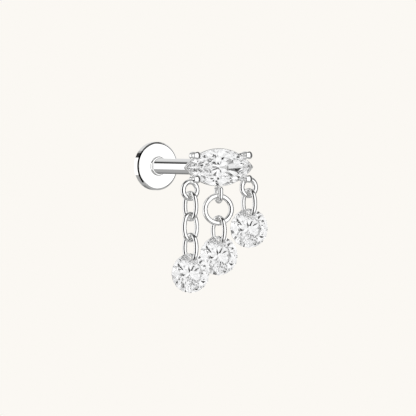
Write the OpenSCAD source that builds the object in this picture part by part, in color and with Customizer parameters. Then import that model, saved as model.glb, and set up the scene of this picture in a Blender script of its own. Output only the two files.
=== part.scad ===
// Flat-back stud earring: a marquise stone in a four-prong setting on a straight post,
// with three chain drops that each end in a drilled round stone.
// Millimetres. The post lies along Y, the flat back is at +Y, the marquise faces -Y, +Z is up
// and the origin is the middle of the post's bare length.

/* [Flat back and post] */
// Diameter of the flat disc
disc_d = 3.72; // [3.4:0.02:4.4]
// Thickness of the flat disc
disc_t = 0.64; // [0.5:0.02:0.7]
// Width of the chamfer on the disc's rim
rim_chamfer = 0.08; // [0.05:0.01:0.14]
// Diameter of the solder collar at the post's foot
collar_d = 1.44; // [1.4:0.02:1.7]
// Height of the solder collar
collar_t = 0.20; // [0.15:0.05:0.35]
// Diameter of the post
post_d = 1.2; // [1.15:0.01:1.2]
// Length of the post from the disc to its open end
post_len = 5.86; // [5.8:0.02:8]
// Radius of the blind hole in the post
bore_r = 0.42; // [0.40:0.01:0.44]
// Depth of the blind hole in the post
bore_depth = 4.6; // [4.5:0.1:4.8]

/* [Push pin] */
// Radius of the pin that pushes into the post
pin_r = 0.38; // [0.36:0.01:0.39]
// Length of the pin inside the post
pin_len = 4.2; // [4:0.1:4.3]
// Gap between the post's open end and the setting
seat_gap = 0.02; // [0.01:0.01:0.05]

/* [Marquise stone] */
// Length of the marquise from tip to tip
marquise_len = 6.1; // [6:0.05:6.3]
// Width of the marquise across its belly
marquise_w = 2.76; // [2.7:0.02:2.84]
// Height of the marquise's crown above the girdle
marquise_crown = 0.45; // [0.4:0.01:0.5]
// Depth of the marquise's pavilion below the girdle
marquise_pavilion = 1.2; // [1.1:0.01:1.25]
// Distance from the setting's seat on the post to the marquise's girdle
girdle_reach = 2.6; // [2.3:0.05:2.7]

/* [Setting] */
// Gap between the metal and a stone
stone_gap = 0.03; // [0.02:0.01:0.04]
// Amount the rail stands outside the marquise
rail_out = 0.06; // [0.05:0.01:0.1]
// Thickness of the rail along the post's direction
rail_t = 0.27; // [0.2:0.01:0.35]
// Radius of a prong
prong_r = 0.29; // [0.25:0.01:0.31]
// Distance of the prongs from the middle, to the left and right
prong_x = 2.37; // [2.3:0.01:2.42]
// Distance of the prongs from the middle, up and down
prong_z = 0.90; // [0.88:0.01:0.95]
// Length of a prong in front of the girdle
prong_front = 0.50; // [0.45:0.01:0.6]
// Radius of the slanting leg below each prong
leg_r = 0.24; // [0.2:0.01:0.26]
// Radius of the round base that seats on the post
base_r = 0.75; // [0.7:0.01:0.8]

/* [Eyelets, bail and ring] */
// Outer diameter of the two side eyelets
eyelet_d = 1.65; // [1.6:0.01:1.7]
// Radius of the side eyelets' wire
eyelet_wire_r = 0.20; // [0.18:0.01:0.21]
// Distance of the side eyelets from the middle
eyelet_x = 2.68; // [2.6:0.01:2.7]
// Drop of the left eyelet's centre
left_eyelet_drop = 1.70; // [1.66:0.01:1.74]
// Drop of the right eyelet's centre
right_eyelet_drop = 1.54; // [1.52:0.01:1.66]
// Radius of the centre bail's wire
bail_wire_r = 0.18; // [0.16:0.01:0.19]
// Drop of the bail's lowest point
bail_drop = 2.75; // [2.7:0.01:2.78]
// Half width of the bail's wire centre line
bail_half_w = 0.41; // [0.41:0.01:0.44]
// Outer diameter of the centre ring
ring_d = 2.46; // [2.36:0.01:2.5]
// Radius of the centre ring's wire
ring_wire_r = 0.205; // [0.19:0.005:0.21]
// Turn of the bail about the vertical
bail_turn = 10; // [0:1:14]
// Turn of the centre ring about the vertical
ring_turn = 20; // [8:1:24]
// Distance of the centre ring to the left of the bail
ring_left = 0.05; // [0:0.01:0.06]
// Distance of the centre drop behind the girdle's plane
centre_back = 0.16; // [0.1:0.01:0.2]

/* [Links] */
// Outer length of a link
link_len = 2.32; // [2.3:0.01:2.38]
// Outer width of a link
link_w = 1.62; // [1.6:0.01:1.76]
// Radius of a link's wire
link_wire_r = 0.18; // [0.17:0.005:0.185]
// Centre-line radius of a link's ends
link_end_r = 0.55; // [0.52:0.01:0.58]
// Gap between pieces that hang on each other
hang_gap = 0.02; // [0.01:0.01:0.03]
// Turn of the left chain's first link about the vertical
first_link_turn = 8; // [4:1:10]
// Turn of the left chain's middle link about the vertical
middle_link_turn = 8; // [0:1:12]
// Turn of a link that carries a stone
end_link_turn = 10; // [8:1:10]

/* [Drop stones] */
// Girdle diameter of a drop stone
drop_d = 3.0; // [2.9:0.05:3.1]
// Table diameter as a share of the girdle's
table_share = 0.57; // [0.52:0.01:0.62]
// Crown height as a share of the girdle's diameter
crown_share = 0.155; // [0.14:0.005:0.17]
// Pavilion depth as a share of the girdle's diameter
pavilion_share = 0.43; // [0.4:0.005:0.44]
// Thickness of every stone's girdle
girdle_t = 0.08; // [0.05:0.01:0.1]
// Radius of the drilled hole
drill_r = 0.32; // [0.3:0.01:0.33]
// Distance of the hole's centre from the girdle's edge
drill_inset = 0.53; // [0.52:0.01:0.56]
// Slant of the hole to the stone's axis, about the vertical
drill_slant = 20; // [18:1:22]
// Turn of the drop stones about the vertical
stone_turn = 16; // [14:1:16]

/* [Hidden] */
$fn = 48;
silver = "silver";
stone_colour = "white";

// Places along the post: the disc's face, the post's open end and the girdle's plane
face_y = post_len / 2;
tip_y = -post_len / 2;
girdle_y = tip_y - girdle_reach;

// The marquise's outline is two arcs of this radius, with centres this far from the middle
arc_r = (pow(marquise_len / 2, 2) + pow(marquise_w / 2, 2)) / marquise_w;
arc_c = arc_r - marquise_w / 2;
tip_angle = asin(marquise_len / 2 / arc_r);

// Places in the setting, measured back from the girdle's plane
rail_back = 0.05;
eyelet_back = 0.05;
prong_root = 0.15;

// Where a leg meets the base: to the side, up or down, and in front of the base's seat
leg_foot_x = 0.80;
leg_foot_z = 0.30;
leg_foot_front = 0.60;

// Overlap of soldered pieces, and the small swelling of their corners
weld = 0.02;
swell = 0.01;

// Radii and pitch of the rings and links
eyelet_mid_r = eyelet_d / 2 - eyelet_wire_r;
ring_mid_r = ring_d / 2 - ring_wire_r;
link_wire_d = 2 * link_wire_r;
link_pitch = link_len - 2 * link_wire_d - hang_gap;

// Height of the first link's middle below the piece it hangs on, from that piece's inner edge
function first_link_z(inner_z) = inner_z + hang_gap + link_wire_d - link_len / 2;
left_inner_z = -left_eyelet_drop - eyelet_d / 2 + 2 * eyelet_wire_r;
right_inner_z = -right_eyelet_drop - eyelet_d / 2 + 2 * eyelet_wire_r;
ring_top_z = -bail_drop + 2 * bail_wire_r + hang_gap + 2 * ring_wire_r;
ring_z = ring_top_z - ring_d / 2;
ring_inner_z = ring_z - ring_d / 2 + 2 * ring_wire_r;
left_link_z = first_link_z(left_inner_z);
right_link_z = first_link_z(right_inner_z);
centre_link_z = first_link_z(ring_inner_z);

// Height of a drop stone's middle below the middle of the link that carries it:
// the top of the drilled hole clears the inside of the link's curved end
hole_lift = 0.18;
function stone_z(link_z) =
    link_z - link_len / 2 + link_wire_d + hole_lift - drill_r + drill_inset - drop_d / 2;

// Sixteen points of a round outline, and of the marquise outline from its right tip
function round_outline(r) = [for (i = [0:15]) r * [cos(i * 22.5), sin(i * 22.5)]];
function arc_point(side, share) = [
    side * arc_r * sin(share * tip_angle),
    side * (arc_r * cos(share * tip_angle) - arc_c),
];
function marquise_outline() = concat(
    [for (k = [0:7]) arc_point(1, 1 - k / 4)],
    [for (k = [0:7]) arc_point(-1, 1 - k / 4)]
);

// One level of a cut stone: every outline point scaled toward the middle, at one height
function level(outline, share, height) =
    [for (p = outline) [share * p[0], share * p[1], height]];
function every_other(points, first) = [for (i = [first:2:15]) points[i]];

// The facets of a brilliant cut, by the numbers of the points that its levels start at
function brilliant_faces(upper = 8, rim = 16, low_rim = 32, lower = 48, culet = 56) = concat(
    [[for (i = [7:-1:0]) i]],
    [for (i = [0:7]) [i, (i + 1) % 8, upper + i]],
    [for (i = [0:7]) [i, upper + i, rim + 2 * i]],
    [for (i = [0:7]) [i, rim + 2 * i, upper + (i + 7) % 8]],
    [for (i = [0:7]) [upper + i, rim + 2 * i + 1, rim + 2 * i]],
    [for (i = [0:7]) [upper + i, rim + (2 * i + 2) % 16, rim + 2 * i + 1]],
    [for (i = [0:15]) [rim + i, rim + (i + 1) % 16, low_rim + (i + 1) % 16, low_rim + i]],
    [for (i = [0:7]) [lower + i, low_rim + 2 * i, low_rim + 2 * i + 1]],
    [for (i = [0:7]) [lower + i, low_rim + 2 * i + 1, low_rim + (2 * i + 2) % 16]],
    [for (i = [0:7]) [culet, low_rim + 2 * i, lower + i]],
    [for (i = [0:7]) [culet, lower + (i + 7) % 8, low_rim + 2 * i]]
);

// A brilliant cut, table up: table corners, crown corners, both girdle edges,
// pavilion corners and the culet. On a round outline the kite facets are flat.
// The middle values are the crown and pavilion corners' distances, as shares of the girdle's.
module brilliant(outline, crown, pavilion) {
    half = girdle_t / 2;
    crown_mid = 0.80;
    pavilion_mid = 0.30;
    slant = cos(22.5);
    crown_mid_z = half + crown * (1 - crown_mid * slant) / (1 - table_share);
    pavilion_mid_z = -half - pavilion * (1 - pavilion_mid * slant);
    table = every_other(level(outline, table_share, half + crown), 0);
    upper = every_other(level(outline, crown_mid, crown_mid_z), 1);
    lower = every_other(level(outline, pavilion_mid, pavilion_mid_z), 1);
    rim_top = level(outline, 1, half);
    rim_bottom = level(outline, 1, -half);
    points = concat(table, upper, rim_top, rim_bottom, lower, [[0, 0, -half - pavilion]]);
    hull() polyhedron(points = points, faces = brilliant_faces());
}

// Turns a piece whose axis is +Z so that it faces -Y, then about the vertical
module facing(turn) {
    rotate([0, 0, turn]) rotate([90, 0, 0]) children();
}

// A half ring of wire in the XY plane
module wire_bend(mid_r, wire_r) {
    rotate_extrude(angle = 180) translate([mid_r, 0]) circle(wire_r);
}

// A round ring of wire in the XY plane
module wire_ring(mid_r, wire_r) {
    rotate_extrude() translate([mid_r, 0]) circle(wire_r);
}

// The centre line of an oval link in the XY plane, long along Y: two end arcs and two
// flatter side arcs. Each station is [arc centre x, arc centre y, arc radius, angle].
link_half_l = link_len / 2 - link_wire_r;
link_half_w = link_w / 2 - link_wire_r;
end_c = link_half_l - link_end_r;
bulge = link_half_w - link_end_r;
side_c = (pow(end_c, 2) - pow(bulge, 2)) / (2 * bulge);
side_r = link_half_w + side_c;
join = atan2(end_c, side_c);
end_steps = 10;
side_steps = 6;
function arc_stations(x, y, r, from, sweep, steps) =
    [for (i = [0:steps - 1]) [x, y, r, from + sweep * i / steps]];
link_stations = concat(
    arc_stations(0, end_c, link_end_r, join, 180 - 2 * join, end_steps),
    arc_stations(side_c, 0, side_r, 180 - join, 2 * join, side_steps),
    arc_stations(0, -end_c, link_end_r, 180 + join, 180 - 2 * join, end_steps),
    arc_stations(-side_c, 0, side_r, -join, 2 * join, side_steps)
);

// An oval link: a round wire swept along the stations
module oval_link() {
    sides = 12;
    count = len(link_stations);
    points = [
        for (s = link_stations, j = [0:sides - 1])
            let (reach = s[2] + link_wire_r * cos(j * 360 / sides))
                [s[0] + reach * cos(s[3]), s[1] + reach * sin(s[3]),
                 link_wire_r * sin(j * 360 / sides)]
    ];
    faces = [
        for (i = [0:count - 1], j = [0:sides - 1])
            let (near = i * sides, far = ((i + 1) % count) * sides, next = (j + 1) % sides)
                [near + j, near + next, far + next, far + j]
    ];
    polyhedron(points = points, faces = faces);
}

// A straight rod between two points
module rod(from, to, r) {
    way = to - from;
    length = norm(way);
    pitch = acos(way[2] / length);
    heading = atan2(way[1], way[0]);
    translate(from) rotate([0, pitch, heading]) cylinder(h = length, r = r);
}

// The space inside the marquise outline grown by grow, tapering from one width to another
module marquise_taper(length, grow_near, grow_far) {
    intersection_for (side = [-1, 1])
        translate([0, side * arc_c, 0])
            cylinder(h = length, r1 = arc_r + grow_near, r2 = arc_r + grow_far, $fn = 96);
}

// Room for the marquise with its gap, girdle at the origin and table up
module marquise_room() {
    half = girdle_t / 2;
    culet_r = 0.05;
    shrink = marquise_w / 2 - culet_r;
    crown_shrink = marquise_w / 2 * (1 - table_share);
    translate([0, 0, -half - marquise_pavilion])
        marquise_taper(marquise_pavilion, stone_gap - shrink, stone_gap);
    translate([0, 0, -half]) marquise_taper(girdle_t, stone_gap, stone_gap);
    translate([0, 0, half])
        marquise_taper(marquise_crown, stone_gap, stone_gap - crown_shrink);
}

module flat_back() {
    color(silver)
        difference() {
            union() {
                translate([0, face_y + disc_t, 0]) rotate([90, 0, 0]) disc();
                translate([0, face_y + disc_t / 2, 0]) rotate([90, 0, 0])
                    cylinder(h = disc_t / 2 + collar_t, r = collar_d / 2);
                translate([0, face_y + disc_t / 2, 0]) rotate([90, 0, 0])
                    cylinder(h = disc_t / 2 + post_len, r = post_d / 2);
            }
            translate([0, tip_y + bore_depth, 0]) rotate([90, 0, 0])
                cylinder(h = bore_depth + 1, r = bore_r);
        }
}

// The disc with a chamfered rim, its back face at the origin
module disc() {
    disc_r = disc_d / 2;
    flat_r = disc_r - rim_chamfer;
    rotate_extrude()
        polygon([
            [0, 0], [flat_r, 0], [disc_r, rim_chamfer],
            [disc_r, disc_t - rim_chamfer], [flat_r, disc_t], [0, disc_t],
        ]);
}

// A prong: a straight rod with a low dome in front and a slanting leg to the base
module prong(side_x, side_z) {
    dome_r = 0.42;
    dome_back = sqrt(pow(dome_r, 2) - pow(prong_r, 2));
    bend = [side_x * prong_x, prong_root, side_z * prong_z];
    foot = [side_x * leg_foot_x, girdle_reach - leg_foot_front, side_z * leg_foot_z];
    translate(bend) rotate([90, 0, 0]) cylinder(h = prong_root + prong_front, r = prong_r);
    translate([side_x * prong_x, -prong_front, side_z * prong_z])
        intersection() {
            translate([0, dome_back, 0]) sphere(dome_r);
            rotate([90, 0, 0]) cylinder(h = dome_r, r = prong_r);
        }
    translate(bend) sphere(prong_r + swell);
    rod(bend, foot, leg_r);
}

// The centre bail: a narrow U whose arms are joined by a bar under the rail
module bail() {
    bend_z = -bail_drop + bail_wire_r + bail_half_w;
    bar_z = -marquise_w / 2 - rail_out - bail_wire_r + weld;
    translate([0, centre_back, 0]) rotate([0, 0, 90 - bail_turn]) {
        translate([0, 0, bend_z]) rotate([-90, 0, 0]) wire_bend(bail_half_w, bail_wire_r);
        for (side = [-1, 1]) {
            translate([side * bail_half_w, 0, bend_z])
                cylinder(h = bar_z - bend_z, r = bail_wire_r);
            translate([side * bail_half_w, 0, bar_z]) sphere(bail_wire_r + swell / 2);
        }
        translate([-bail_half_w, 0, bar_z]) rotate([0, 90, 0])
            cylinder(h = 2 * bail_half_w, r = bail_wire_r);
    }
}

module eyelet(x, drop) {
    translate([x, eyelet_back, -drop]) rotate([90, 0, 0])
        wire_ring(eyelet_mid_r, eyelet_wire_r);
}

module rail() {
    translate([0, rail_back, 0]) rotate([-90, 0, 0])
        marquise_taper(rail_t, rail_out, rail_out);
}

// The base: a round boss at the post's end with a cross bar for the legs, and the pin
module base() {
    boss_h = 0.55;
    bar = [2.1, 0.35, 0.9];
    bar_front = 0.75;
    pin_root = 0.2;
    translate([0, girdle_reach - seat_gap, 0]) rotate([90, 0, 0])
        cylinder(h = boss_h, r = base_r);
    translate([-bar[0] / 2, girdle_reach - bar_front, -bar[2] / 2]) cube(bar);
    translate([0, girdle_reach + pin_len, 0]) rotate([90, 0, 0])
        cylinder(h = pin_len + pin_root, r = pin_r);
}

module setting() {
    color(silver) translate([0, girdle_y, 0]) {
        difference() {
            union() {
                rail();
                for (side_x = [-1, 1], side_z = [-1, 1]) prong(side_x, side_z);
            }
            rotate([90, 0, 0]) marquise_room();
        }
        base();
        eyelet(-eyelet_x, left_eyelet_drop);
        eyelet(eyelet_x, right_eyelet_drop);
        bail();
    }
}

module marquise_stone() {
    color(stone_colour) translate([0, girdle_y, 0]) rotate([90, 0, 0])
        brilliant(marquise_outline(), marquise_crown, marquise_pavilion);
}

module centre_ring() {
    color(silver) translate([-ring_left, girdle_y + centre_back, ring_z]) facing(-ring_turn)
        wire_ring(ring_mid_r, ring_wire_r);
}

module drop_stone(x, y, z) {
    color(stone_colour) translate([x, girdle_y + y, z]) facing(-stone_turn)
        difference() {
            brilliant(round_outline(drop_d / 2), crown_share * drop_d, pavilion_share * drop_d);
            translate([0, drop_d / 2 - drill_inset, 0]) rotate([0, drill_slant, 0])
                cylinder(h = 2 * drop_d, r = drill_r, center = true);
        }
}

module chain_link(x, y, z, turn) {
    color(silver) translate([x, girdle_y + y, z]) facing(turn) oval_link();
}

flat_back();
setting();
marquise_stone();
chain_link(-eyelet_x, 0, left_link_z, 90 + first_link_turn);  // left_link_1
chain_link(-eyelet_x, 0, left_link_z - link_pitch, middle_link_turn);  // left_link_2
chain_link(-eyelet_x, 0, left_link_z - 2 * link_pitch, 90 + end_link_turn);  // left_link_3
drop_stone(-eyelet_x, 0, stone_z(left_link_z - 2 * link_pitch));  // left_drop_stone
centre_ring();
chain_link(0, centre_back, centre_link_z, 90 + end_link_turn);  // centre_link
drop_stone(0, centre_back, stone_z(centre_link_z));  // centre_drop_stone
chain_link(eyelet_x, 0, right_link_z, 90 + end_link_turn);  // right_link
drop_stone(eyelet_x, 0, stone_z(right_link_z));  // right_drop_stone
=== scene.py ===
"""Looks of the flat-back stud earring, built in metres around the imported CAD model."""

import math

import bmesh
import bpy
from mathutils import Matrix, Vector


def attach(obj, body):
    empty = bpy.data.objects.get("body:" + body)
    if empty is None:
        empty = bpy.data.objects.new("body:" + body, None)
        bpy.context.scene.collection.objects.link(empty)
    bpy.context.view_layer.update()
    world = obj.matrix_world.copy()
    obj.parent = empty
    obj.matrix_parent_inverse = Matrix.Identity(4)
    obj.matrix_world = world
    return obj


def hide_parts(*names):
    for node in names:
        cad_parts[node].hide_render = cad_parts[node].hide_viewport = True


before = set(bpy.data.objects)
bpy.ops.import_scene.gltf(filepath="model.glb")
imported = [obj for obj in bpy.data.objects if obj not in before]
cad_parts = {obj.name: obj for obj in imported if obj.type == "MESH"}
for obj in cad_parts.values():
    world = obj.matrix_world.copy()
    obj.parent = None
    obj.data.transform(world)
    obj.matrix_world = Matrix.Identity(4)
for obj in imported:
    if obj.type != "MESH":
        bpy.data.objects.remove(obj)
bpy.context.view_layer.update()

MM = 0.001
TURN = 2 * math.pi

# Sizes in millimetres and angles in degrees, as in the CAD source
DISC_R = 1.86
DISC_T = 0.64
RIM_CHAMFER = 0.08
COLLAR_R = 0.72
COLLAR_T = 0.20
POST_R = 0.60
POST_LEN = 5.86
BORE_R = 0.42
BORE_DEPTH = 4.6
PIN_R = 0.38
PIN_LEN = 4.2
SEAT_GAP = 0.02
GIRDLE_REACH = 2.6
MARQUISE_LEN = 6.1
MARQUISE_W = 2.76
MARQUISE_CROWN = 0.45
MARQUISE_PAVILION = 1.2
CULET_R = 0.05
STONE_GAP = 0.03
RAIL_OUT = 0.06
RAIL_T = 0.27
RAIL_BACK = 0.05
PRONG_R = 0.29
PRONG_X = 2.37
PRONG_Z = 0.90
PRONG_FRONT = 0.50
PRONG_ROOT = 0.15
DOME_R = 0.42
LEG_R = 0.24
LEG_FOOT = (0.80, 0.60, 0.30)
BASE_R = 0.75
BASE_T = 0.55
BAR = (2.1, 0.35, 0.9)
BAR_FRONT = 0.75
EYELET_R = 0.825
EYELET_WIRE = 0.20
EYELET_X = 2.68
EYELET_BACK = 0.05
LEFT_DROP = 1.70
RIGHT_DROP = 1.54
BAIL_WIRE = 0.18
BAIL_DROP = 2.75
BAIL_HALF_W = 0.41
BAIL_TURN = 10
RING_R = 1.23
RING_WIRE = 0.205
RING_TURN = 20
RING_LEFT = 0.05
CENTRE_BACK = 0.16
LINK_LEN = 2.32
LINK_W = 1.62
LINK_WIRE = 0.18
LINK_END_R = 0.55
HANG_GAP = 0.02
FIRST_TURN = 98
MIDDLE_TURN = 8
END_TURN = 100
STONE_R = 1.5
TABLE = 0.57
CROWN = 0.465
PAVILION = 1.29
GIRDLE_T = 0.08
DRILL_R = 0.32
DRILL_INSET = 0.53
DRILL_SLANT = 20
HOLE_LIFT = 0.18
STONE_TURN = -16

# The disc's front edge: a bevel, and a shallow slope between it and the flat face
FRONT_BEVEL = 0.10
SLOPE_RUN = 0.06
SLOPE_DEPTH = 0.03

# Places along the post, and the two arcs that bound the marquise
TIP_Y = -POST_LEN / 2
FACE_Y = POST_LEN / 2
GIRDLE_Y = TIP_Y - GIRDLE_REACH
ARC_R = ((MARQUISE_LEN / 2) ** 2 + (MARQUISE_W / 2) ** 2) / MARQUISE_W
ARC_C = ARC_R - MARQUISE_W / 2


# Meshes: these functions take millimetres, and the meshes that they make are in metres

MERGE_GAP = 1e-8


def skin(bm, rows, closed=True, capped=False):
    """Joins rows of points with quads, around each row, and around the rows too if closed."""
    rings = [[bm.verts.new(Vector(p) * MM) for p in row] for row in rows]
    count = len(rings)
    for i in range(count if closed else count - 1):
        near, far = rings[i], rings[(i + 1) % count]
        for j in range(len(near)):
            k = (j + 1) % len(near)
            bm.faces.new((near[j], near[k], far[k], far[j]))
    if capped:
        bm.faces.new(rings[0][::-1])
        bm.faces.new(rings[-1])


def supported(profile):
    """Adds points close to the ends of long straight stretches, which keeps them flat to light."""
    near = 0.01
    long_way = 8 * near
    points = [profile[0]]
    for end in profile[1:]:
        start = Vector(points[-1])
        way = Vector(end) - start
        if way.length > long_way:
            step = way.normalized() * near
            points += [tuple(start + step), tuple(start + way - step)]
        points.append(end)
    return points


def lathe(bm, profile, steps, place):
    """Turns a profile of (radius, height) about the local Z axis, which place puts in the frame."""
    rows = []
    for r, h in supported(profile):
        ring = []
        for i in range(steps):
            a = TURN * i / steps
            ring.append(place @ Vector((r * math.cos(a), r * math.sin(a), h)))
        rows.append(ring)
    skin(bm, rows, closed=False)


def sweep(bm, path, wire_r, sides, place):
    """A round wire along a closed path in the local XY plane."""
    rows = []
    count = len(path)
    for i in range(count):
        p = Vector(path[i])
        ahead = Vector(path[(i + 1) % count]) - Vector(path[i - 1])
        out = Vector((ahead.y, -ahead.x)).normalized()
        ring = []
        for j in range(sides):
            a = TURN * j / sides
            side = p + out * (wire_r * math.cos(a))
            ring.append(place @ Vector((side.x, side.y, wire_r * math.sin(a))))
        rows.append(ring)
    skin(bm, rows)


def arc(cx, cy, r, start, end, steps):
    """Points of an arc, in degrees, both ends included."""
    points = []
    for i in range(steps + 1):
        a = math.radians(start + (end - start) * i / steps)
        points.append((cx + r * math.cos(a), cy + r * math.sin(a)))
    return points


def circle(r, steps):
    """Points all around a circle, the first one not repeated at the end."""
    return arc(0, 0, r, 0, 360 * (steps - 1) / steps, steps - 1)


def at(x, y, z, turn=0.0):
    """A place in the frame: faces -Y with its own Y upward, then turned about the vertical."""
    place = Matrix.Translation((x, y, z)) @ Matrix.Rotation(math.radians(turn), 4, "Z")
    return place @ Matrix.Rotation(math.radians(90), 4, "X")


def along(start, end):
    """A place whose local Z axis runs from start to end."""
    way = Vector(end) - Vector(start)
    turn = way.to_track_quat("Z", "Y").to_matrix().to_4x4()
    return Matrix.Translation(Vector(start)) @ turn


def closed_mesh(bm, name):
    """A mesh of bm, with doubled points merged and the faces turned outward."""
    bmesh.ops.remove_doubles(bm, verts=bm.verts, dist=MERGE_GAP)
    bmesh.ops.recalc_face_normals(bm, faces=bm.faces)
    mesh = bpy.data.meshes.new(name)
    bm.to_mesh(mesh)
    bm.free()
    return mesh


def add_piece(name, bm, materials, body, replaced=(), sharp_angle=35):
    """Makes a piece of the object, which rides on a body and takes its finish from a slot."""
    mesh = closed_mesh(bm, name)
    mesh.shade_smooth()
    mesh.set_sharp_from_angle(angle=math.radians(sharp_angle))
    obj = bpy.data.objects.new(name, mesh)
    bpy.context.scene.collection.objects.link(obj)
    for material in materials:
        obj.data.materials.append(material)
    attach(obj, body)
    if replaced:
        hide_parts(*replaced)
    return obj


def cut(obj, cutter_bm):
    """Takes the cutter's shape out of obj."""
    mesh = closed_mesh(cutter_bm, "cutter")
    cutter = bpy.data.objects.new("cutter", mesh)
    bpy.context.scene.collection.objects.link(cutter)
    change = obj.modifiers.new("cut", "BOOLEAN")
    change.operation = "DIFFERENCE"
    change.solver = "EXACT"
    change.object = cutter
    bpy.context.view_layer.update()
    depsgraph = bpy.context.evaluated_depsgraph_get()
    made = bpy.data.meshes.new_from_object(obj.evaluated_get(depsgraph))
    obj.modifiers.clear()
    old = obj.data
    obj.data = made
    bpy.data.objects.remove(cutter)
    bpy.data.meshes.remove(mesh)
    bpy.data.meshes.remove(old)


# Materials: noise scales are per metre, and bump depths in metres

SILVER_COLOUR = (0.95, 0.95, 0.945)
SILVER_DETAIL = 4.0
BUMP_STRENGTH = 0.2
ZIRCONIA_IOR = 2.16
GRINDING_SCALE = 30000.0
GRINDING_DETAIL = 2.0


def new_material(name):
    """A material of one principled shader, and that shader."""
    material = bpy.data.materials.new(name)
    material.use_nodes = True
    nodes = material.node_tree.nodes
    nodes.clear()
    shader = nodes.new("ShaderNodeBsdfPrincipled")
    out = nodes.new("ShaderNodeOutputMaterial")
    material.node_tree.links.new(shader.outputs[0], out.inputs["Surface"])
    return material, shader


def cloudy_roughness(material, shader, scale, detail, roughness, waver):
    """Lets the roughness waver in clouds, and gives the clouds for further use."""
    nodes, links = material.node_tree.nodes, material.node_tree.links
    coords = nodes.new("ShaderNodeTexCoord")
    noise = nodes.new("ShaderNodeTexNoise")
    noise.inputs["Scale"].default_value = scale
    noise.inputs["Detail"].default_value = detail
    links.new(coords.outputs["Object"], noise.inputs["Vector"])
    spread = nodes.new("ShaderNodeMapRange")
    spread.inputs["To Min"].default_value = roughness - waver
    spread.inputs["To Max"].default_value = roughness + waver
    links.new(noise.outputs[0], spread.inputs["Value"])
    links.new(spread.outputs[0], shader.inputs["Roughness"])
    return noise


def polish(name, roughness, waver, scale, depth):
    """Polished silver with faint cloudy polishing marks in its roughness and surface."""
    material, shader = new_material(name)
    nodes, links = material.node_tree.nodes, material.node_tree.links
    shader.inputs["Metallic"].default_value = 1.0
    shader.inputs["Base Color"].default_value = (*SILVER_COLOUR, 1)
    noise = cloudy_roughness(material, shader, scale, SILVER_DETAIL, roughness, waver)
    bump = nodes.new("ShaderNodeBump")
    bump.inputs["Strength"].default_value = BUMP_STRENGTH
    bump.inputs["Distance"].default_value = depth
    links.new(noise.outputs[0], bump.inputs["Height"])
    links.new(bump.outputs[0], shader.inputs["Normal"])
    return material


def clear_stone(name, clearness, roughness, waver):
    """Clear cubic zirconia, polished or ground."""
    material, shader = new_material(name)
    shader.inputs["Base Color"].default_value = (clearness, clearness, clearness, 1)
    shader.inputs["Transmission Weight"].default_value = 1.0
    shader.inputs["IOR"].default_value = ZIRCONIA_IOR
    shader.inputs["Roughness"].default_value = roughness
    if waver:
        cloudy_roughness(material, shader, GRINDING_SCALE, GRINDING_DETAIL, roughness, waver)
    return material


SILVER = polish("polished_silver", roughness=0.045, waver=0.015, scale=9000.0, depth=0.000002)
WIRE = polish("silver_wire", roughness=0.045, waver=0.015, scale=14000.0, depth=0.000002)
SATIN = polish("satin_silver", roughness=0.05, waver=0.02, scale=9000.0, depth=0.0000005)
STONE = clear_stone("stone_facets", clearness=1.0, roughness=0.0, waver=0.0)
GROUND = clear_stone("stone_ground", clearness=0.55, roughness=0.35, waver=0.1)


# The camera, at the photo's angle. Its heading is that of the way to the camera, from +X.
# Its distance is in millimetres, the anchor in pixels, and the clip distances in metres.

CAMERA_AZIMUTH = math.radians(-34)
CAMERA_ELEVATION = math.radians(1.2)
CAMERA_HEADING = CAMERA_AZIMUTH - math.radians(90)
CAMERA_DISTANCE = 400
PIXELS_PER_MM = 13.2
FRAME_SIDE = 416
ANCHOR_PIXEL = (219.9, 167.3)
CLIP_START = 0.02
CLIP_END = 6.0


def add_camera():
    """The camera sees the marquise's middle at ANCHOR_PIXEL, PIXELS_PER_MM large."""
    back = Vector((
        math.sin(CAMERA_AZIMUTH) * math.cos(CAMERA_ELEVATION),
        -math.cos(CAMERA_AZIMUTH) * math.cos(CAMERA_ELEVATION),
        math.sin(CAMERA_ELEVATION),
    ))
    right = Vector((math.cos(CAMERA_AZIMUTH), math.sin(CAMERA_AZIMUTH), 0))
    up = back.cross(right)
    anchor = Vector((0, GIRDLE_Y, 0))
    middle = FRAME_SIDE / 2
    target = anchor + right * ((middle - ANCHOR_PIXEL[0]) / PIXELS_PER_MM)
    target += up * ((ANCHOR_PIXEL[1] - middle) / PIXELS_PER_MM)
    data = bpy.data.cameras.new("camera")
    half_frame = middle / PIXELS_PER_MM
    data.lens = data.sensor_width / 2 * CAMERA_DISTANCE / half_frame
    data.clip_start = CLIP_START
    data.clip_end = CLIP_END
    camera = bpy.data.objects.new("camera", data)
    camera.location = (target + back * CAMERA_DISTANCE) * MM
    camera.rotation_mode = "QUATERNION"
    camera.rotation_quaternion = (-back).to_track_quat("-Z", "Y")
    bpy.context.scene.collection.objects.link(camera)
    bpy.context.scene.camera = camera


add_camera()


# The flat back, disc, collar and tubular post, turned about the post's axis

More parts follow.
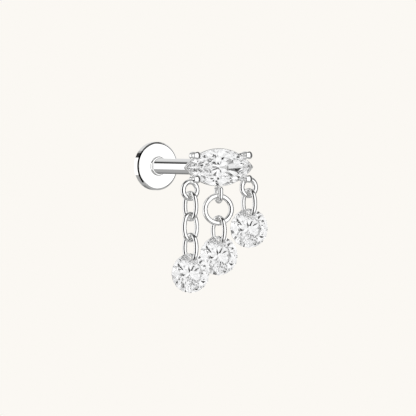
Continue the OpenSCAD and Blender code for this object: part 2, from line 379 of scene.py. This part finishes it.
def add_flat_back():
    back_y = FACE_Y + DISC_T
    flat_r = DISC_R - RIM_CHAMFER
    profile = [(0, back_y)]
    for share in (0.25, 0.5, 0.75, 1):
        profile.append((flat_r * share, back_y))
    profile.append((DISC_R, back_y - RIM_CHAMFER))
    profile.append((DISC_R, FACE_Y + SLOPE_DEPTH + FRONT_BEVEL))
    profile.append((DISC_R - FRONT_BEVEL, FACE_Y + SLOPE_DEPTH))
    profile.append((DISC_R - FRONT_BEVEL - SLOPE_RUN, FACE_Y))
    foot = 0.04
    profile += arc(COLLAR_R + foot, FACE_Y - foot, foot, 90, 180, 6)
    shoulder = 0.06
    top = FACE_Y - COLLAR_T
    profile += arc(COLLAR_R - shoulder, top + shoulder, shoulder, 0, -90, 6)
    root = 0.04
    profile += arc(POST_R + root, top - root, root, 90, 180, 5)
    edge = 0.04
    profile += arc(POST_R - edge, TIP_Y + edge, edge, 0, -90, 4)
    profile += [(BORE_R, TIP_Y), (BORE_R, TIP_Y + BORE_DEPTH), (0, TIP_Y + BORE_DEPTH)]
    bm = bmesh.new()
    place = Matrix.Rotation(math.radians(-90), 4, "X")
    lathe(bm, profile, 128, place)
    back = add_piece(
        "back_disc_and_post", bm, [SILVER, SATIN], "back", ["flat_back"]
    )
    back.visible_glossy = False

    # The flat front face is satin, and the rest is polished
    near = 0.001
    for face in back.data.polygons:
        if abs(face.center.y - FACE_Y * MM) < near * MM:
            face.material_index = 1


add_flat_back()


# The marquise's outline and the setting around it

def marquise_outline(grow, steps):
    """The outline grown by grow, as points in X and Z, from the right tip."""
    r = ARC_R + grow
    tip = math.degrees(math.acos(ARC_C / r))
    upper = arc(0, -ARC_C, r, 90 - tip, 90 + tip, steps)
    lower = arc(0, ARC_C, r, 270 - tip, 270 + tip, steps)
    return upper[:-1] + lower[:-1]


def marquise_rows(levels, steps):
    """One row of points for each (depth behind the girdle, growth of the outline)."""
    rows = []
    for depth, grow in levels:
        row = [(x, GIRDLE_Y + depth, z) for x, z in marquise_outline(grow, steps)]
        rows.append(row)
    return rows


def marquise_room():
    """The room that the metal leaves for the marquise."""
    half = GIRDLE_T / 2
    crown_end = STONE_GAP - MARQUISE_W / 2 * (1 - TABLE)
    culet_end = STONE_GAP + CULET_R - MARQUISE_W / 2
    levels = [
        (half + MARQUISE_PAVILION, culet_end),
        (half, STONE_GAP),
        (-half, STONE_GAP),
        (-half - MARQUISE_CROWN, crown_end),
    ]
    bm = bmesh.new()
    skin(bm, marquise_rows(levels, 48), closed=False, capped=True)
    return bm


def add_rail():
    """The rail that carries the stone: its inner wall follows the stone's pavilion."""
    slope = (MARQUISE_W / 2 - CULET_R) / MARQUISE_PAVILION
    half = GIRDLE_T / 2
    front = RAIL_BACK
    back = RAIL_BACK + RAIL_T
    round_r = 0.05
    levels = [(front, STONE_GAP - slope * (front - half))]
    for x, y in arc(RAIL_OUT - round_r, front + round_r, round_r, -90, 0, 4):
        levels.append((y, x))
    for x, y in arc(RAIL_OUT - round_r, back - round_r, round_r, 0, 90, 4):
        levels.append((y, x))
    levels.append((back, STONE_GAP - slope * (back - half)))
    bm = bmesh.new()
    skin(bm, marquise_rows(supported(levels), 64))
    rail = add_piece("setting_rail", bm, [SILVER], "front", sharp_angle=50)
    rail.visible_transmission = False


def prong_profile():
    """Half of a prong's outline: a round knee, a plump rod, a groove and a domed end."""
    dome_back = math.sqrt(DOME_R ** 2 - PRONG_R ** 2)
    dome_edge = math.degrees(math.asin(PRONG_R / DOME_R))
    reach = PRONG_ROOT + PRONG_FRONT
    swell = 0.01
    lip = 0.02
    knee_r = PRONG_R + swell
    groove_r = 0.22
    groove_z = reach - 2 * lip
    steps = 8
    profile = arc(0, 0, knee_r, -90, 0, 10)
    for i in range(1, steps + 1):
        narrowing = 1 - math.cos(math.radians(90) * i / steps)
        profile.append((knee_r - (knee_r - groove_r) * narrowing, groove_z * i / steps))
    profile += [(PRONG_R - swell, reach - lip), (PRONG_R, reach)]
    profile += arc(0, reach - dome_back, DOME_R, 90 - dome_edge, 90, 12)
    return profile


def add_prong(name, side_x, side_z):
    """A prong, and the slanting leg that carries it from the base."""
    bend = (side_x * PRONG_X, GIRDLE_Y + PRONG_ROOT, side_z * PRONG_Z)
    tip = (bend[0], bend[1] - 1, bend[2])
    foot_x, foot_y, foot_z = LEG_FOOT
    foot = (side_x * foot_x, GIRDLE_Y + GIRDLE_REACH - foot_y, side_z * foot_z)
    bm = bmesh.new()
    lathe(bm, prong_profile(), 48, along(bend, tip))
    prong = add_piece("prong_" + name, bm, [SILVER], "front")
    cut(prong, marquise_room())
    length = (Vector(foot) - Vector(bend)).length
    bm = bmesh.new()
    lathe(bm, [(0, 0), (LEG_R, 0), (LEG_R, length), (0, length)], 32, along(bend, foot))
    leg = add_piece("leg_" + name, bm, [SILVER], "front")
    cut(leg, marquise_room())
    leg.visible_transmission = False


def add_base():
    """The boss at the post's end, with the pin that runs in the bore."""
    seat = GIRDLE_Y + GIRDLE_REACH
    edge = 0.06
    place = Matrix.Translation((0, seat, 0)) @ Matrix.Rotation(math.radians(-90), 4, "X")
    front = -SEAT_GAP - BASE_T
    profile = [(0, front)]
    profile += arc(BASE_R - edge, front + edge, edge, -90, 0, 5)
    profile += arc(BASE_R - edge, -SEAT_GAP - edge, edge, 0, 90, 5)
    profile += [(PIN_R, -SEAT_GAP)]
    tip = 0.10
    profile += arc(PIN_R - tip, PIN_LEN - tip, tip, 0, 90, 5)
    profile += [(0, PIN_LEN)]
    bm = bmesh.new()
    lathe(bm, profile, 64, place)
    base = add_piece("setting_base", bm, [SILVER], "front", ["setting"])
    base.visible_glossy = False
    base.visible_transmission = False


def add_bar():
    """The cross bar that the legs stand on, with rounded edges."""
    seat = GIRDLE_Y + GIRDLE_REACH
    edge = 0.06
    centre = Vector((0, seat - BAR_FRONT + BAR[1] / 2, 0))
    scale = Matrix.Diagonal((*BAR, 1))
    bm = bmesh.new()
    bmesh.ops.create_cube(bm, size=1, matrix=Matrix.Translation(centre) @ scale)
    bmesh.ops.scale(bm, vec=(MM, MM, MM), verts=bm.verts)
    bmesh.ops.bevel(
        bm, geom=bm.edges[:], offset=edge * MM, segments=4, profile=0.5, affect="EDGES"
    )
    bar = add_piece("setting_bar", bm, [SILVER], "front", sharp_angle=60)
    bar.visible_transmission = False


def add_eyelet(name, x, drop):
    """A side eyelet, whose middle hangs drop below the marquise's middle."""
    bm = bmesh.new()
    path = circle(EYELET_R - EYELET_WIRE, 96)
    sweep(bm, path, EYELET_WIRE, 32, at(x, GIRDLE_Y + EYELET_BACK, -drop))
    add_piece(name, bm, [WIRE], "front")


def add_bail():
    """A narrow U of wire, closed at its top by a bar with rounded corners."""
    bend_z = -BAIL_DROP + BAIL_WIRE + BAIL_HALF_W
    overlap = 0.02
    bar_z = -MARQUISE_W / 2 - RAIL_OUT - BAIL_WIRE + overlap
    corner = 0.10
    steps = 6
    path = arc(0, bend_z, BAIL_HALF_W, 180, 360, 32)
    side = [bend_z + (bar_z - corner - bend_z) * i / steps for i in range(1, steps)]
    path += [(BAIL_HALF_W, z) for z in side]
    path += arc(BAIL_HALF_W - corner, bar_z - corner, corner, 0, 90, steps)
    path += arc(corner - BAIL_HALF_W, bar_z - corner, corner, 90, 180, steps)
    path += [(-BAIL_HALF_W, z) for z in reversed(side)]
    bm = bmesh.new()
    sweep(bm, path, BAIL_WIRE, 24, at(0, GIRDLE_Y + CENTRE_BACK, 0, 90 - BAIL_TURN))
    add_piece("centre_bail", bm, [WIRE], "front")


add_rail()
for side_z, height in ((1, "top"), (-1, "low")):
    for side_x, side in ((-1, "left"), (1, "right")):
        add_prong(side + "_" + height, side_x, side_z)
add_base()
add_bar()
add_eyelet("left_eyelet", -EYELET_X, LEFT_DROP)
add_eyelet("right_eyelet", EYELET_X, RIGHT_DROP)
add_bail()


# Rings and links

def add_centre_ring(z):
    """The round ring of the centre drop, with its middle at height z."""
    bm = bmesh.new()
    place = at(-RING_LEFT, GIRDLE_Y + CENTRE_BACK, z, -RING_TURN)
    sweep(bm, circle(RING_R - RING_WIRE, 128), RING_WIRE, 32, place)
    add_piece("round_ring", bm, [WIRE], "front", ["centre_ring"])


def link_path():
    """The centre line of an oval link: two end arcs and two flatter side arcs."""
    half_l = LINK_LEN / 2 - LINK_WIRE
    half_w = LINK_W / 2 - LINK_WIRE
    end_c = half_l - LINK_END_R
    bulge = half_w - LINK_END_R
    side_c = (end_c ** 2 - bulge ** 2) / (2 * bulge)
    join = math.degrees(math.atan2(end_c, side_c))
    side_r = half_w + side_c
    path = arc(0, end_c, LINK_END_R, join, 180 - join, 28)[:-1]
    path += arc(side_c, 0, side_r, 180 - join, 180 + join, 18)[:-1]
    path += arc(0, -end_c, LINK_END_R, 180 + join, 360 - join, 28)[:-1]
    path += arc(-side_c, 0, side_r, -join, join, 18)[:-1]
    return path


def add_link(node, x, back, z, turn):
    """An oval link that stands for a node, back behind the girdle and turned about the vertical."""
    bm = bmesh.new()
    sweep(bm, link_path(), LINK_WIRE, 28, at(x, GIRDLE_Y + back, z, turn))
    add_piece(node + "_wire", bm, [WIRE], "front", [node])


def first_link_z(wire_top):
    """The height of a link's middle when it hangs on a wire whose upper side is at wire_top."""
    return wire_top + HANG_GAP + 2 * LINK_WIRE - LINK_LEN / 2


LINK_PITCH = LINK_LEN - 4 * LINK_WIRE - HANG_GAP
RING_TOP = -BAIL_DROP + 2 * BAIL_WIRE + HANG_GAP + 2 * RING_WIRE
RING_Z = RING_TOP - RING_R
left_z = first_link_z(-LEFT_DROP - EYELET_R + 2 * EYELET_WIRE)
right_z = first_link_z(-RIGHT_DROP - EYELET_R + 2 * EYELET_WIRE)
centre_z = first_link_z(RING_Z - RING_R + 2 * RING_WIRE)
last_left_z = left_z - 2 * LINK_PITCH

add_centre_ring(RING_Z)
add_link("left_link_1", -EYELET_X, 0, left_z, FIRST_TURN)
add_link("left_link_2", -EYELET_X, 0, left_z - LINK_PITCH, MIDDLE_TURN)
add_link("left_link_3", -EYELET_X, 0, last_left_z, END_TURN)
add_link("centre_link", 0, CENTRE_BACK, centre_z, END_TURN)
add_link("right_link", EYELET_X, 0, right_z, END_TURN)


# Stones

def brilliant(bm, outline, crown, pavilion, place):
    """A brilliant cut on an outline of 8 * split points: table, stars, kites and halves."""
    split = len(outline) // 8
    half = GIRDLE_T / 2
    crown_mid = 0.80
    pavilion_mid = 0.22
    slant = math.cos(math.radians(22.5))
    crown_mid_z = half + crown * (1 - crown_mid * slant) / (1 - TABLE)
    pavilion_mid_z = -half - pavilion * (1 - pavilion_mid * slant)

    def level(points, share, height):
        return [bm.verts.new((place @ Vector((share * x, share * y, height))) * MM)
                for x, y in points]

    corners = outline[::split]
    mids = outline[split // 2::split]
    table = level(corners, TABLE, half + crown)
    upper = level(mids, crown_mid, crown_mid_z)
    rim = level(outline, 1, half)
    low_rim = level(outline, 1, -half)
    lower = level(mids, pavilion_mid, pavilion_mid_z)
    culet = bm.verts.new((place @ Vector((0, 0, -half - pavilion))) * MM)
    bm.faces.new(table)
    count = len(outline)
    for i in range(count):
        k = (i + 1) % count
        bm.faces.new((rim[i], low_rim[i], low_rim[k], rim[k]))
    for i in range(8):
        k = (i + 1) % 8
        corner = i * split
        mid = corner + split // 2
        end = (corner + split) % count
        bm.faces.new((table[i], upper[i], table[k]))
        bm.faces.new((table[i], upper[i - 1], rim[corner], upper[i]))
        first = [rim[j] for j in range(corner, mid + 1)]
        second = [rim[j % count] for j in range(mid, corner + split + 1)]
        bm.faces.new([upper[i]] + first)
        bm.faces.new([upper[i]] + second)
        first = [low_rim[j] for j in range(corner, mid + 1)]
        second = [low_rim[j % count] for j in range(mid, corner + split + 1)]
        bm.faces.new([lower[i]] + first[::-1])
        bm.faces.new([lower[i]] + second[::-1])
        bm.faces.new((culet, lower[i], low_rim[end], lower[k]))


def flat_facets(obj, place):
    """Flat polished facets, and ground faces where they run along the stone's own axis."""
    axis = (place.to_3x3() @ Vector((0, 0, 1))).normalized()
    lean = 0.05
    for face in obj.data.polygons:
        ground = abs(face.normal.dot(axis)) < lean
        face.use_smooth = ground
        face.material_index = 1 if ground else 0


def add_marquise():
    """The marquise, on an outline of 8 points along each of its two arcs."""
    bm = bmesh.new()
    half = math.degrees(math.acos(ARC_C / ARC_R))
    outline = []
    for side in (1, -1):
        for k in range(8):
            a = math.radians(90 - half + half * k / 4)
            x = ARC_R * math.cos(a)
            z = ARC_R * math.sin(a) - ARC_C
            outline.append((side * x, side * z))
    place = at(0, GIRDLE_Y, 0)
    brilliant(bm, outline, MARQUISE_CROWN, MARQUISE_PAVILION, place)
    stone = add_piece(
        "marquise_gem", bm, [STONE, GROUND], "front", ["marquise_stone"]
    )
    flat_facets(stone, place)


def add_round_stone(node, x, back, link_z):
    """A drop's stone, drilled where the link whose middle is at link_z passes through."""
    z = link_z - LINK_LEN / 2 + 2 * LINK_WIRE + HOLE_LIFT - DRILL_R + DRILL_INSET - STONE_R
    place = at(x, GIRDLE_Y + back, z, STONE_TURN)
    bm = bmesh.new()
    brilliant(bm, circle(STONE_R, 16), CROWN, PAVILION, place)
    stone = add_piece(
        node + "_gem", bm, [STONE, GROUND], "front", [node]
    )
    hole = place @ Matrix.Translation((0, STONE_R - DRILL_INSET, 0))
    hole = hole @ Matrix.Rotation(math.radians(DRILL_SLANT), 4, "Y")
    bm = bmesh.new()
    reach = 2 * STONE_R
    lathe(bm, [(0, -reach), (DRILL_R, -reach), (DRILL_R, reach), (0, reach)], 40, hole)
    cut(stone, bm)
    flat_facets(stone, place)


add_marquise()
add_round_stone("left_drop_stone", -EYELET_X, 0, last_left_z)
add_round_stone("centre_drop_stone", 0, CENTRE_BACK, centre_z)
add_round_stone("right_drop_stone", EYELET_X, 0, right_z)


# The studio: a plain pale floor, and soft panels of light and shade all around

PALE = (0.965, 0.939, 0.896)
FLOOR_Z = -0.3


def add_floor():
    """A glowing floor in metres, far below, that only the camera sees."""
    mesh = bpy.data.meshes.new("floor")
    side = 4.0
    corners = [(-side, -side, 0), (side, -side, 0), (side, side, 0), (-side, side, 0)]
    mesh.from_pydata(corners, [], [(0, 1, 2, 3)])
    floor = bpy.data.objects.new("floor", mesh)
    floor.location = (0, 0, FLOOR_Z)
    bpy.context.scene.collection.objects.link(floor)
    material = bpy.data.materials.new("pale_floor")
    material.use_nodes = True
    nodes = material.node_tree.nodes
    nodes.clear()
    glow = nodes.new("ShaderNodeEmission")
    glow.inputs["Color"].default_value = (*PALE, 1)
    out = nodes.new("ShaderNodeOutputMaterial")
    material.node_tree.links.new(glow.outputs[0], out.inputs["Surface"])
    floor.data.materials.append(material)
    floor.visible_glossy = False
    floor.visible_transmission = False
    floor.visible_diffuse = False


# The studio's panels, laid one over the other: a heading about the vertical from the
# camera's direction, positive to the image's right, a height, the half angles, the width
# of the soft edge, all in degrees, and the brightness. A round panel has one half angle,
# and a square one a half width and a half height.
METAL_PANELS = [
    (180, 0, (84,), 14, 0.40),
    (0, 90, (42,), 12, 0.10),
    (0, -90, (55,), 12, 0.40),
    (180, 18, (42, 22), 6, 0.75),
    (180, -24, (24, 10), 6, 0.22),
    (-112, -1, (9, 22), 3, 1.25),
    (-124, 26, (7, 5), 3, 0.04),
    (-35, -3, (29, 56), 4, 0.0),
    (100, 12, (27, 45), 6, 0.12),
]

# Small black cards all around the stones, evenly along a spiral from above to below: their
# number, the turn from each to the next, their half angles in turn, and their soft edge
CARD_COUNT = 48
CARD_STEP = 137.5
CARD_HALVES = (5, 9, 7)
CARD_EDGE = 2

# The brightness around the metal
SURROUND = 1.25

# The soft patches around the stones: their noise's scale and detail, the range of it that
# counts, and the brightness at the two ends of that range
PATCH_SCALE = 3.0
PATCH_DETAIL = 1.0
PATCH_NOISE = (0.35, 0.65)
PATCH_LIGHT = (0.88, 1.3)

# The share of the stones' studio that their surfaces mirror
STONE_SHINE = 0.1


def black_cards():
    """The cards as round panels, in the same form as METAL_PANELS."""
    cards = []
    for i in range(CARD_COUNT):
        height = math.degrees(math.asin(1 - (2 * i + 1) / CARD_COUNT))
        half = CARD_HALVES[i % len(CARD_HALVES)]
        cards.append((CARD_STEP * i, height, (half,), CARD_EDGE, 0.0))
    return cards


def add_world():
    """The studio, seen by the metal and, in another version, by the stones."""
    world = bpy.data.worlds.new("studio")
    bpy.context.scene.world = world
    world.use_nodes = True
    nodes, links = world.node_tree.nodes, world.node_tree.links
    nodes.clear()
    coords = nodes.new("ShaderNodeTexCoord")

    def feed(socket, value):
        """Links a node's output to the socket, or sets the socket to a number."""
        if isinstance(value, bpy.types.NodeSocket):
            links.new(value, socket)
        else:
            socket.default_value = value

    def calculate(operation, *values):
        node = nodes.new("ShaderNodeMath")
        node.operation = operation
        for socket, value in zip(node.inputs, values):
            feed(socket, value)
        return node.outputs[0]

    def inside(off, half, edge):
        """1 where the angle off is less than half, falling to 0 over the edge."""
        ramp = nodes.new("ShaderNodeMapRange")
        ramp.interpolation_type = "SMOOTHSTEP"
        ramp.inputs["From Min"].default_value = math.radians(half + edge / 2)
        ramp.inputs["From Max"].default_value = math.radians(half - edge / 2)
        links.new(off, ramp.inputs["Value"])
        return ramp.outputs[0]

    def broken_light():
        """Soft patches of light and half-light all around, which a cut stone picks up."""
        patches = nodes.new("ShaderNodeTexNoise")
        patches.inputs["Scale"].default_value = PATCH_SCALE
        patches.inputs["Detail"].default_value = PATCH_DETAIL
        links.new(coords.outputs["Generated"], patches.inputs["Vector"])
        spread = nodes.new("ShaderNodeMapRange")
        spread.inputs["From Min"].default_value = PATCH_NOISE[0]
        spread.inputs["From Max"].default_value = PATCH_NOISE[1]
        spread.inputs["To Min"].default_value = PATCH_LIGHT[0]
        spread.inputs["To Max"].default_value = PATCH_LIGHT[1]
        links.new(patches.outputs[0], spread.inputs["Value"])
        return spread.outputs[0]

    def studio(value, panels):
        """The panels, each laid over value and those before it."""
        for panel in panels:
            value = laid_over(value, *panel)
        return value

    def laid_over(value, heading, height, halves, edge, brightness):
        """value with one panel over it."""
        turn = nodes.new("ShaderNodeVectorRotate")
        turn.rotation_type = "Z_AXIS"
        turn.inputs["Angle"].default_value = -(CAMERA_HEADING + math.radians(heading))
        links.new(coords.outputs["Generated"], turn.inputs["Vector"])
        if len(halves) == 1:
            height = math.radians(height)
            dot = nodes.new("ShaderNodeVectorMath")
            dot.operation = "DOT_PRODUCT"
            dot.inputs[1].default_value = (math.cos(height), 0, math.sin(height))
            links.new(turn.outputs[0], dot.inputs[0])
            mask = inside(calculate("ARCCOSINE", dot.outputs["Value"]), halves[0], edge)
        else:
            split = nodes.new("ShaderNodeSeparateXYZ")
            links.new(turn.outputs[0], split.inputs[0])
            around = calculate("ARCTAN2", split.outputs[1], split.outputs[0])
            above = calculate("ARCSINE", split.outputs[2])
            above = calculate("SUBTRACT", above, math.radians(height))
            wide = inside(calculate("ABSOLUTE", around), halves[0], edge)
            tall = inside(calculate("ABSOLUTE", above), halves[1], edge)
            mask = calculate("MULTIPLY", wide, tall)
        return blend(mask, value, brightness)

    def blend(mask, below, above):
        """below where the mask is 0, and above where it is 1."""
        mix = nodes.new("ShaderNodeMix")
        mix.data_type = "FLOAT"
        for index, part in ((0, mask), (2, below), (3, above)):
            feed(mix.inputs[index], part)
        return mix.outputs[0]

    # A ray off a perfectly smooth surface comes from a stone, and one off the metal doesn't
    path = nodes.new("ShaderNodeLightPath")
    stones = studio(broken_light(), black_cards())
    shine = calculate("MULTIPLY", stones, STONE_SHINE)
    light = blend(path.outputs["Is Singular Ray"], studio(SURROUND, METAL_PANELS), shine)
    light = blend(path.outputs["Is Transmission Ray"], light, stones)
    grey = nodes.new("ShaderNodeCombineColor")
    for socket in grey.inputs:
        links.new(light, socket)
    surround = nodes.new("ShaderNodeBackground")
    links.new(grey.outputs[0], surround.inputs["Color"])
    pale = nodes.new("ShaderNodeBackground")
    pale.inputs["Color"].default_value = (*PALE, 1)
    choice = nodes.new("ShaderNodeMixShader")
    links.new(path.outputs["Is Camera Ray"], choice.inputs[0])
    links.new(surround.outputs[0], choice.inputs[1])
    links.new(pale.outputs[0], choice.inputs[2])
    out = nodes.new("ShaderNodeOutputWorld")
    links.new(choice.outputs[0], out.inputs["Surface"])


add_floor()
add_world()

# Light crosses a stone many times before it leaves it
cycles = bpy.context.scene.cycles
cycles.max_bounces = 24
cycles.glossy_bounces = 20
cycles.transmission_bounces = 20
bpy.context.scene.view_settings.view_transform = "Standard"
